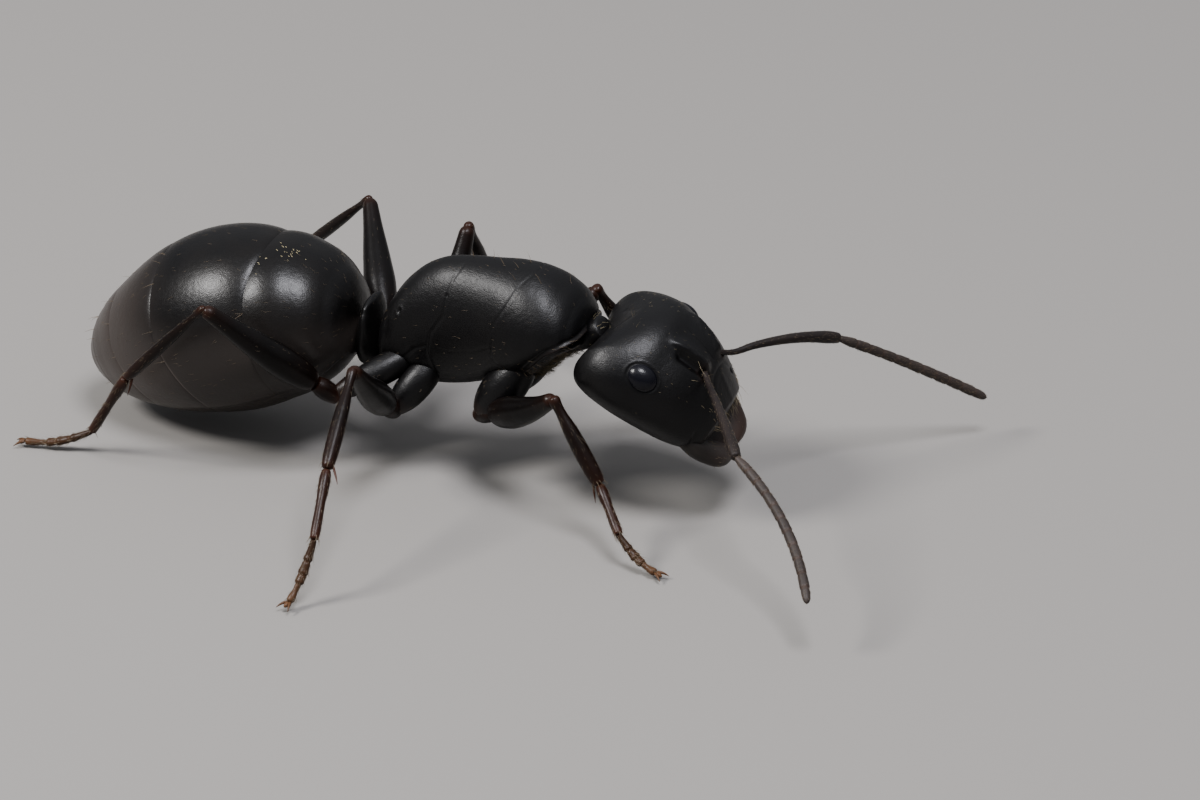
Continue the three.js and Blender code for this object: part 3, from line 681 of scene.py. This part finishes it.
def trunk_skin():
    """The trunk's hull, with its grooves, the rim along the collar and the breathing holes as heights, and a
    painted highlight along the rim as its tint.
    """
    path = bend(np.array([TRUNK_REAR, 0, TRUNK_HEIGHT]), np.array([TRUNK_FRONT, 0, TRUNK_HEIGHT]))
    grid = carry(path, TRUNK_ROWS, *TRUNK_GRID, (0.012, 0.008))
    half = np.stack([grid[..., 0], np.abs(grid[..., 1]), grid[..., 2]], -1)
    height = np.zeros(grid.shape[:2])
    for line, depth, width in SEAMS.values():
        away = away_from(half, line)
        height += -depth * bell(away, width) + 0.1 * depth * bell(away - 2.4 * width, width)
    rim = away_from(half, RIM)
    hole = np.linalg.norm((half - BREATH) * [1, 1, 0.7], axis=-1)
    height += 0.036 * bell(rim, 0.03) - 0.012 * bell(rim - 0.07, 0.03)
    height += 0.006 * bell(hole - 0.06, 0.024) - 0.02 * bell(hole, 0.03)
    height += 0.035 * bell(np.linalg.norm((half - GLAND) * [0.6, 1, 1], axis=-1), 0.16)
    # painted highlight: a light tint along the collar rim stands in for the light the rim catches
    return swell(grid, height), np.clip(0.06 * bell(rim, 0.04), 0, 1)


# the second value is the painted highlight along the collar rim, laid on as tint
skins["trunk"], rim_painted_highlight = trunk_skin()
make_piece("trunk_shell", closed(skins["trunk"]), BODY_SHELL,
           ["mesothorax", "pronotum", "propodeum"], per_point(rim_painted_highlight))
neck = carry(bend(NECK_BASE, NECK_JOINT + NECK_INTO_HEAD), NECK_ROWS, *NECK_GRID, (0.2, 0.05))
neck = swell(neck, -0.015 * bell(neck[..., 1], 0.03) * ramp(-outward(neck)[..., 2], 0.2, 0.6))
make_piece("neck_shield", closed(neck), BODY_SHELL, ["neck"])
print("trunk:", made_pieces["trunk_shell"], "triangles")

# %% [markdown]
# ## Waist
# The waist is one upright scale with a narrow crest, held by a short stalk on each side. It is worked out as
# an oval carried level and then stood on end, and the stalk is one rod that runs through it.

# %% Waist scale
WAIST_ROWS = [[0, 0.25, 0.2, 0, -0.2], [0.1, 0.35, 0.24, 0, -0.24], [0.35, 0.48, 0.23, 0, -0.23],
              [0.6, 0.5, 0.18, -0.01, -0.18], [0.85, 0.42, 0.11, -0.02, -0.12],
              [0.96, 0.3, 0.06, -0.02, -0.08], [1, 0.16, 0.03, -0.02, -0.05]]
WAIST_AHEAD, WAIST_FOOT, WAIST_TALL, WAIST_GRID = -2.66, 1.72, 1.24, (90, 90)
STALK_FRONT, STALK_REAR = np.array([-2.2, 0, 2.05]), np.array([-3.1, 0, 2.25])
STALK_ROWS = [[0, 0.2], [0.3, 0.2], [0.5, 0.24], [0.75, 0.2], [1, 0.26]]
lying = carry(bend(np.zeros(3), X * WAIST_TALL), WAIST_ROWS, *WAIST_GRID, (0.05, 0.05))
upright = np.stack([WAIST_AHEAD - lying[..., 2], lying[..., 1], WAIST_FOOT + lying[..., 0]], -1)[:, ::-1]
stalk = limb(STALK_FRONT, STALK_REAR, STALK_ROWS, 40, 48, ends=(0.04, 0.04))
make_piece("waist_scale", joined([closed(upright), closed(stalk)]), BODY_SHELL, ["petiole"])
print("waist scale:", made_pieces["waist_scale"], "triangles")

# %% [markdown]
# ## Gaster
# The abdomen is five plates, each tucked under the one before like the lengths of a telescope. Grooves in
# one skin would not show the dark gap under a lip, so each plate is a shell of its own. One smooth bag gives
# the form. A plate takes its own stretch of it, starts a little below the surface, rises to it, ends in a
# thin pale lip, and folds back inside. Its belly half lies one step lower than its back.

# %% Gaster plates
GASTER_ROWS = [  # place, half-width, top, belt, bottom
    [0, 0.3, 0.12, -0.2, -0.5], [0.015, 0.6, 0.35, -0.2, -0.72], [0.06, 1.0, 0.72, -0.22, -1.03],
    [0.16, 1.36, 1.17, -0.15, -1.4], [0.3, 1.55, 1.47, -0.1, -1.62], [0.45, 1.62, 1.57, -0.1, -1.7],
    [0.6, 1.55, 1.47, -0.1, -1.6], [0.75, 1.32, 1.18, -0.08, -1.38], [0.87, 0.98, 0.88, -0.06, -1.04],
    [0.95, 0.62, 0.56, -0.04, -0.66], [0.99, 0.3, 0.27, 0, -0.32], [1, 0.12, 0.12, 0, -0.12],
]
PLATES, PLATE_RINGS, TUCKED = 5, 130, 0.035
# where plates one to four end, how much earlier over the back, and how much earlier under the belly
PLATE_ENDS = [[0.285, 0.05, 0.01], [0.61, 0.03, 0.055], [0.812, 0.02, 0.04], [0.925, 0.01, 0.02]]
WAISTED = [0, 0.07, 0.012, 0.01, 0.006]  # how deep the surface dips at the front of each plate
FOLD = np.array([[0.001, 0.007], [0.0025, 0.014], [0.005, 0.019], [0.02, 0.03], [0.035, 0.05]])
BAG_RINGS, BAG_AROUND = 900, 220
bag = carry(bend(GASTER_FRONT, GASTER_TIP, GASTER_PULL), GASTER_ROWS, BAG_RINGS, BAG_AROUND, (0.01, 0.01),
            places=np.linspace(0, 1, BAG_RINGS))
bag_out = outward(bag)
bag_high = np.sin(np.arange(BAG_AROUND) * 2 * np.pi / BAG_AROUND)


def plate_end(number):
    """Where a plate ends at each turn: earlier over the back and under the belly than on the flanks."""
    rear, dome, tuck = PLATE_ENDS[number]
    return rear - dome * np.clip(bag_high, 0, 1) ** 3 - tuck * np.clip((0.3 - bag_high) / 0.9, 0, 1)


def on_bag(places, depth):
    """Points of the smooth bag at places from 0 to 1 and a depth below the surface, each column by itself."""
    f = np.clip(places, 0, 1) * (len(bag) - 1)
    low = np.minimum(f.astype(int), len(bag) - 2)
    f, column = (f - low)[..., None], np.arange(bag.shape[1])
    point = bag[low, column] * (1 - f) + bag[low + 1, column] * f
    return point - (bag_out[low, column] * (1 - f) + bag_out[low + 1, column] * f) * depth[..., None]


def gaster_plate(number):
    """One plate: its outside from under the plate before it to its lip, and the fold back inside. Its depth
    below the bag falls off from the front edge by an exponential, so it comes up steeply and then runs flat.
    Also gives how thin the shell is, most at the lips and on the belly, where a painted reflection of the
    floor is added."""
    first, last = number == 0, number == PLATES - 1
    t = crowded(PLATE_RINGS, 0.9)[:, None]
    before = np.full(BAG_AROUND, -0.2) if first else plate_end(number - 1)
    end = np.ones(BAG_AROUND) if last else plate_end(number)
    places = np.maximum(before - TUCKED, 0) * (1 - t) + end * t
    behind = places - before
    waisted = np.clip(0.3 + bag_high, 0.12, 1)
    depth = 0.022 * np.exp(-np.clip(behind, 0, None) / 0.009) + 0.5 * np.clip(-behind, 0, None) * (not first)
    depth = depth + WAISTED[number] * waisted * np.exp(-np.clip(behind, 0, None) / 0.06)
    if not last:
        depth = depth + WAISTED[number + 1] * waisted * np.exp(-np.clip(end - places, 0, None) / 0.05)
    depth = depth + 0.022 * ramp(-bag_high, 0.70, 0.75) * ramp(places, 0.02, 0.08) * ramp(places, 1.0, 0.95)
    thin = bell(places - end, 0.0045) * (not last) * 0.45
    thin = thin * ramp(places, 0.4, 0.6) * ramp(-bag_high, -0.3, 0.3)
    # painted reflection: the belly half is lighter, standing in for the pale floor mirrored in it as well as
    # for its thinner shell
    thin = thin + (0.14 + 0.06 * (not first)) * ramp(-bag_high, -0.6, 0.5) + 0.26 * ramp(places, 0.5, 0.85)
    grid = on_bag(places, depth)
    if not last:
        inside = on_bag(end - FOLD[:, :1], depth[-1] + FOLD[:, 1:])
        grid = np.concatenate([grid, inside, np.broadcast_to(inside[-1].mean(0), inside[-1:].shape)])
        thin = np.concatenate([thin, np.repeat(thin[-1:], len(FOLD) + 1, 0)])
    if not first:
        grid = np.concatenate([np.broadcast_to(grid[0].mean(0), grid[:1].shape), grid])
        thin = np.concatenate([thin[:1], thin])
    return grid, thin


for number in range(PLATES):
    plate, thin = gaster_plate(number)
    skins[f"plate_{number + 1}"] = plate[:PLATE_RINGS + 1]
    make_piece(f"gaster_plate_{number + 1}", closed(plate), GASTER_SHELL,
               [f"gaster_{number + 1}"], per_point(thin))
print("gaster plates:", sum(count for name, count in made_pieces.items() if "plate" in name), "triangles")

# %% [markdown]
# ## Legs
# A leg is a heavy hip, a small ring, a thigh that is thickest before its middle, a shin that widens away from
# the knee and carries a spur, and a foot of five joints that ends in two claws and a pad. Shell that is thin,
# at the joints and towards the foot, lets more red through. Both sides and all three pairs come from the same
# tables, so a leg differs only by its sizes and by the headings of its joints.

# %% Claws and spurs


SPIKE_STEPS, SPIKE_GRID, SPIKE_ROWS = 14, (18, 12), [[0, 1], [0.5, 0.8], [1, 0.12]]


def spike(start, ahead, down, length, thick, hook):
    """A tapered spike that leaves along `ahead` and hooks towards `down` by the square of its length."""
    t = np.linspace(0, 1, SPIKE_STEPS)[:, None]
    path = start + ahead * length * t + down * length * hook * t**2
    return carry(path, rounded(SPIKE_ROWS, thick), *SPIKE_GRID, (0.05, 0.05))


FOOT_GRID, FOOT_SAG, FOOT_LOWEST = (200, 26), 0.2, 0.075
FOOT_JOINTS = (0.34, 0.55, 0.7)
FOOT_ROWS = [[0, 0.05, 0.05, 0, -0.05], [0.3, 0.074, 0.064, 0, -0.064], [0.68, 0.07, 0.06, 0, -0.06],
             [0.75, 0.05, 0.05, 0, -0.05], [0.95, 0.068, 0.064, 0, -0.064], [1, 0.055, 0.055, 0, -0.055]]
PAD_ROWS = [[0, 0.03], [0.6, 0.04], [1, 0.03]]


def foot(heel, toe):
    """Joints two to five of a foot, the claws and the pad. The joints sag towards the ground between heel and
    toe, and each swells like a club towards its far end."""
    across = unit(np.cross(Z, toe - heel))
    path = bend(heel, toe - (toe - heel) * 0.06, (heel + toe) / 2 - Z * FOOT_SAG)
    path[:, 2] = np.maximum(path[:, 2], FOOT_LOWEST)
    grid = carry(path, FOOT_ROWS, *FOOT_GRID, (0.02, 0.03))
    place = all_round(crowded(FOOT_GRID[0]), FOOT_GRID[1])
    joint = sum(bell(place - e, 0.022) for e in FOOT_JOINTS)
    grid = swell(grid, -0.012 * joint + 0.01 * sum(bell(place - e + 0.05, 0.03) for e in FOOT_JOINTS))
    ahead = unit((toe - heel) * [1, 1, 0])
    shapes, tints = [closed(grid)], [per_point(0.13 + 0.3 * place**2 + 0.07 * joint)]
    for hand in (-1, 1):
        away = unit(ahead + across * hand * 0.55 + Z * 0.12)
        shapes.append(closed(spike(path[-1] + across * hand * 0.03, away, -Z, 0.21, 0.026, 0.42)))
        tints.append(np.full(len(shapes[-1][0]), 0.45))
    pad = limb(path[-1], path[-1] + unit(ahead - Z * 0.35) * 0.13, PAD_ROWS, 14, 14, ends=(0.2, 0.4))
    shapes.append(closed(pad))
    tints.append(np.full(len(shapes[-1][0]), 0.55))
    return grid, joined(shapes), np.concatenate(tints)


# %% Legs
LEG_GRID = (90, 44)
PARTS = {  # rows of place and half-thickness, and rows of place and thinness of the shell
    "coxa": ([[0, 0.22], [0.4, 0.3], [0.8, 0.25], [1, 0.15]], [[0, 0], [0.75, 0.0], [1, 0.2]]),
    "trochanter": ([[0, 0.13], [0.4, 0.175], [0.8, 0.165], [1, 0.13]],
                   [[0, 0.42], [0.3, 0.12], [0.6, 0.05], [1, 0.16]]),
    "femur": ([[0, 0.13], [0.06, 0.2], [0.28, 0.28], [0.5, 0.245], [0.8, 0.165], [0.94, 0.135], [1, 0.12]],
              [[0, 0.15], [0.08, 0.03], [0.3, 0.0], [0.75, 0.0], [0.92, 0.05], [1, 0.3]]),
    "tibia": ([[0, 0.085], [0.05, 0.105], [0.12, 0.09], [0.4, 0.13], [0.75, 0.145], [0.94, 0.125], [1, 0.1]],
              [[0, 0.35], [0.1, 0.08], [0.5, 0.035], [0.9, 0.13], [1, 0.35]]),
    "basitarsus": ([[0, 0.07], [0.05, 0.084], [0.5, 0.08], [0.93, 0.082], [1, 0.075]],
                   [[0, 0.5], [0.15, 0.24], [0.8, 0.3], [1, 0.6]]),
}
leg_skins = []
for leg, pose in STANCE.items():
    side, pair = leg.split("_")
    size = LEG_PAIRS[pair]
    mirror = np.array([1, SIDES[side], 1])
    root, hip = np.array(size["root"]) * mirror, np.array(size["hip"]) * mirror
    thigh = hip + heading(*pose["femur"]) * TROCHANTER
    knee = hip + heading(*pose["femur"]) * size["femur"]
    ankle = knee + heading(*pose["tibia"]) * size["tibia"]
    heel = ankle + heading(*pose["basitarsus"]) * size["basitarsus"]
    fall = math.degrees(math.asin((CLAW_HEIGHT - heel[2]) / size["tarsus"]))
    toe = heel + heading(pose["tarsus"], fall) * size["tarsus"]
    bow = unit(np.cross(heading(*pose["femur"]), np.cross(Z, heading(*pose["femur"])))) * size["belly"]
    for part, start, end, pull in (
        ("coxa", root, hip, (root + hip) / 2 + mirror * Y * 0.12 + X * 0.03),
        ("trochanter", hip - (thigh - hip) * 0.3, thigh + (thigh - hip) * 0.1, None),
        ("femur", thigh, knee, (thigh + knee) / 2 + bow),
        ("tibia", knee - heading(*pose["tibia"]) * 0.05, ankle, None),
        ("basitarsus", ankle, heel, None),
    ):
        thickness, thinness = PARTS[part]
        slim = {"coxa": size["girth"] / 0.3, "tibia": size["shin"]}.get(part, 1)
        taper = size["taper"] if part == "coxa" else 0
        thickness = [[place, r * slim * (1 - taper * place)] for place, r in thickness]
        ends = {"coxa": (0.14, 0.06), "femur": (0.06, 0.06)}.get(part, (0.03, 0.03))
        skin = limb(start, end, thickness, *LEG_GRID, pull, ends)
        thin = np.interp(crowded(LEG_GRID[0]), *np.array(thinness).T)
        shape, tint = closed(skin), per_point(all_round(thin, LEG_GRID[1]))
        if part == "tibia":
            shin = heading(*pose["tibia"])
            inner = X * size["spur"] - Z * 0.3
            inner = unit(inner - shin * (inner @ shin))
            spur = closed(spike(ankle - shin * 0.1 + inner * 0.08, unit(shin + inner * 0.55), shin,
                                0.34, 0.024, 0.15))
            shape, tint = joined([shape, spur]), np.concatenate([tint, np.full(len(spur[0]), 0.8)])
        finish = BODY_SHELL if part == "coxa" else LEG_SHELL
        make_piece(f"{leg}_{part}_rod", shape, finish, [f"{leg}_{part}"], tint)
        leg_skins.append((leg, part, skin))
    grid, shape, tint = foot(heel, toe)
    make_piece(f"{leg}_tarsus_rod", shape, FOOT_SHELL, [f"{leg}_tarsus"], tint)
    leg_skins.append((leg, "tarsus", grid))
print("leg pieces:", sum(name.endswith("rod") for name in made_pieces))

# %% [markdown]
# ## Hairs
# An ant is not furry, but most parts carry some hairs: stiff bristles that lie along the shins and feet and
# stand in rings at the ends of the joints, a golden fuzz under the neck and along the chest, and short pale
# hairs scattered over the back. Strands of a particle system would not come out as solids, so a hair is a
# curved spike with three sides. Its root is drawn at random on a skin, by area, and its place on the unrolled
# skin is kept as its patch of the texture map.

# %% Growing hairs
HAIR_STEPS, HAIR_POINTS = np.array([0.0, 0.4, 0.75]), 10
SPREAD = np.array([[np.cos(k * 2.1), np.sin(k * 2.1)] for k in range(HAIR_POINTS)]) * 0.0015


def grow(grid, count, length, thick, lift, seed, weight=1.0, curl=0.25, back=1, tile=(0, 1)):
    """Hairs on a ring grid. Roots are drawn by area times weight. A hair leaves at the angle `lift` above the
    skin, towards the end of the grid or back along it, and curls over by the square of its length."""
    rng = np.random.default_rng(seed)
    across, along = np.roll(grid, -1, 1)[:-1] - grid[:-1], np.diff(grid, axis=0)
    area = np.linalg.norm(np.cross(across, along), axis=-1)
    chance = (area * np.broadcast_to(weight, grid.shape[:2])[:-1]).ravel()
    pick = rng.choice(len(chance), count, p=chance / chance.sum())
    i, j = np.divmod(pick, grid.shape[1])
    u, v = rng.random((2, count, 1))
    k = (j + 1) % grid.shape[1]
    root = (grid[i, j] * (1 - u) + grid[i + 1, j] * u) * (1 - v)
    root = root + (grid[i, k] * (1 - u) + grid[i + 1, k] * u) * v
    out = outward(grid)[i, j]
    lie = unit(unit(along)[i, j] * back + rng.normal(0, 0.22, (count, 3)))
    lie = unit(lie - out * np.sum(lie * out, -1, keepdims=True))
    rise = np.radians(np.clip(rng.normal(lift, lift * 0.2, (count, 1)), 4, 100))
    reach = length * rng.uniform(0.65, 1.25, (count, 1))
    ahead = out * np.sin(rise) + lie * np.cos(rise)
    side = unit(np.cross(out, lie))
    face = np.cross(side, ahead)
    shape = []
    for t in HAIR_STEPS:
        centre = root - out * thick + ahead * reach * t + (lie - out * 0.5) * reach * curl * t**2
        for turn in (0, 2 * np.pi / 3, 4 * np.pi / 3):
            shape.append(centre + (side * np.cos(turn) + face * np.sin(turn)) * thick * (1 - t * 0.85))
    shape.append(root - out * thick + ahead * reach + (lie - out * 0.5) * reach * curl)
    points = np.stack(shape, 1).reshape(-1, 3)
    one = []
    for ring in (0, 3):
        for a, b in ((0, 1), (1, 2), (2, 0)):
            one += [[ring + a, ring + b, ring + 3 + b], [ring + a, ring + 3 + b, ring + 3 + a]]
    one += [[6, 7, 9], [7, 8, 9], [8, 6, 9]]
    faces = (np.array(one)[None] + HAIR_POINTS * np.arange(count)[:, None, None]).reshape(-1, 3)
    high, wide = (i[:, None] + u) / grid.shape[0], (j[:, None] + v) / grid.shape[1]
    flat = np.stack([high, (tile[0] + wide) / tile[1]], -1)
    return (points, [faces]), (flat.reshape(count, 1, 2) + SPREAD).reshape(-1, 2)


def coat(name, tufts, pale=0.0):
    """Joins hairs grown on several skins into one piece, paler by a share from 0 to 1."""
    shape = joined([shape for shape, _ in tufts])
    flat = np.concatenate([flat for _, flat in tufts])
    make_piece(name, shape, HAIR, tint=np.full(len(shape[0]), pale), flat=flat)


# %% Coats
head, trunk = skins["head"], skins["trunk"]
face = (head - NECK_JOINT) @ FACE
MOUTH_CORNER = [[2.15, 0.75, 0.45], [2.38, 0.6, 0.4]]
LIP = [[2.52, -0.55, 0.2], [2.56, 0, 0.3], [2.52, 0.55, 0.2]]
CHEST = [[1.15, 0, 2.8], [0.75, 0, 2.45], [0.35, 0, 2.15]]
corner = bell(away_from(face * [1, 0, 1] + np.abs(face) * Y, MOUTH_CORNER), 0.06)
coat("head_hairs", [
    grow(head, 130, 0.045, 0.0023, 30, 11, 0.1 + ramp(face[..., 2], 0.2, 0.6)),
    grow(head, 26, 0.2, 0.005, 50, 12, bell(away_from(face, LIP), 0.09)),
    grow(head, 8, 0.22, 0.0034, 70, 13, ramp(face[..., 2], 0.6, 0.9)),
    grow(head, 26, 0.07, 0.006, 25, 14, corner),
], 0.15)
coat("jaw_hairs", [grow(skins[f"jaw_{side}"], 46, 0.09, 0.004, 30, 20 + k, tile=(k, 2))
                   for k, side in enumerate(SIDES)])
fuzz = bell(away_from(trunk * [1, 0, 1], CHEST), 0.14)
coat("trunk_hairs", [
    grow(trunk, 240, 0.06, 0.003, 20, 31, 1.0, back=-1),
    grow(trunk, 620, 0.13, 0.0034, 50, 32, fuzz + 1e-6),
    grow(trunk, 9, 0.2, 0.005, 75, 33, ramp(outward(trunk)[..., 2], 0.5, 0.9), back=-1),
])
below = ramp(-outward(neck)[..., 2], -0.3, 0.4) * ramp(neck[..., 0], 1.3, 0.9)
coat("neck_fuzz", [grow(neck, 1300, 0.13, 0.0036, 50, 35, below + 0.02)], 0.3)
coat("waist_hairs", [grow(upright, 24, 0.12, 0.004, 60, 36, ramp(upright[..., 2], 2.5, 2.9))])
plates = [skins[f"plate_{k + 1}"] for k in range(PLATES)]
flat_lying = [grow(plates[k], count, 0.1, 0.0025, 10, 40 + k, tile=(k, PLATES), curl=0.1)
              for k, count in enumerate((150, 150, 110, 80, 50))]
standing = [grow(plates[k], count, 0.2, 0.005, 50, 50 + k, ramp(np.arange(len(plates[k]))[:, None], 105, 125),
                 tile=(k, PLATES))
            for k, count in enumerate((8, 10, 10, 12, 24))]
coat("gaster_hairs", flat_lying + standing)
SPECK_PATCHES = [([-4.05, -0.35, 3.72], 0.2), ([-4.4, -0.75, 3.5], 0.14)]
specks = sum(bell(np.linalg.norm(plates[0] - place, axis=-1), wide) for place, wide in SPECK_PATCHES)
coat("gaster_specks", [grow(plates[0], 26, 0.04, 0.011, 55, 59, specks)], 0.6)
print("body coats:", [name for name in made_pieces if name.endswith(("hairs", "fuzz", "specks"))])

# %% Coats of the legs and feelers
LEG_HAIRS = {  # how many, their length and their lift
    "coxa": (30, 0.06, 25), "trochanter": (10, 0.07, 30), "femur": (60, 0.05, 15),
    "tibia": (130, 0.07, 20), "basitarsus": (120, 0.08, 26), "tarsus": (130, 0.09, 34),
}
CUFFS = {"tibia": [0.955], "basitarsus": [0.955], "tarsus": [0.32, 0.53, 0.68]}
for side in SIDES:
    mine = [(leg, part, skin) for leg, part, skin in leg_skins if leg.startswith(side)]
    tufts = []
    for k, (leg, part, skin) in enumerate(mine):
        count, length, lift = LEG_HAIRS[part]
        thick, tile = 0.0036 if "tarsus" in part else 0.0023, (k, len(mine))
        tufts.append(grow(skin, count, length, thick, lift, 60 + k, tile=tile))
        for cuff in CUFFS.get(part, []):
            ring = bell(crowded(len(skin)) - cuff, 0.012)[:, None]
            tufts.append(grow(skin, 8, 0.13, 0.0085, 30, 70 + k, ring, tile=tile))
    coat(f"leg_hairs_{side}", tufts, 0.02)
FEELER_HAIRS = {"scape": (260, 0.05), "lash": (1100, 0.045)}  # how many and their length
rods = [(side, part) for side in SIDES for part in FEELER_HAIRS]
coat("feeler_fuzz", [
    grow(skins[f"{part}_{side}"], *FEELER_HAIRS[part], 0.0028, 28, 90 + k, tile=(k, len(rods)))
    for k, (side, part) in enumerate(rods)])
print("coats:", {name: made_pieces[name] for name in list(made_pieces)[-3:]})

# %% Finish
print("pieces:", len(made_pieces), "triangles:", sum(made_pieces.values()))
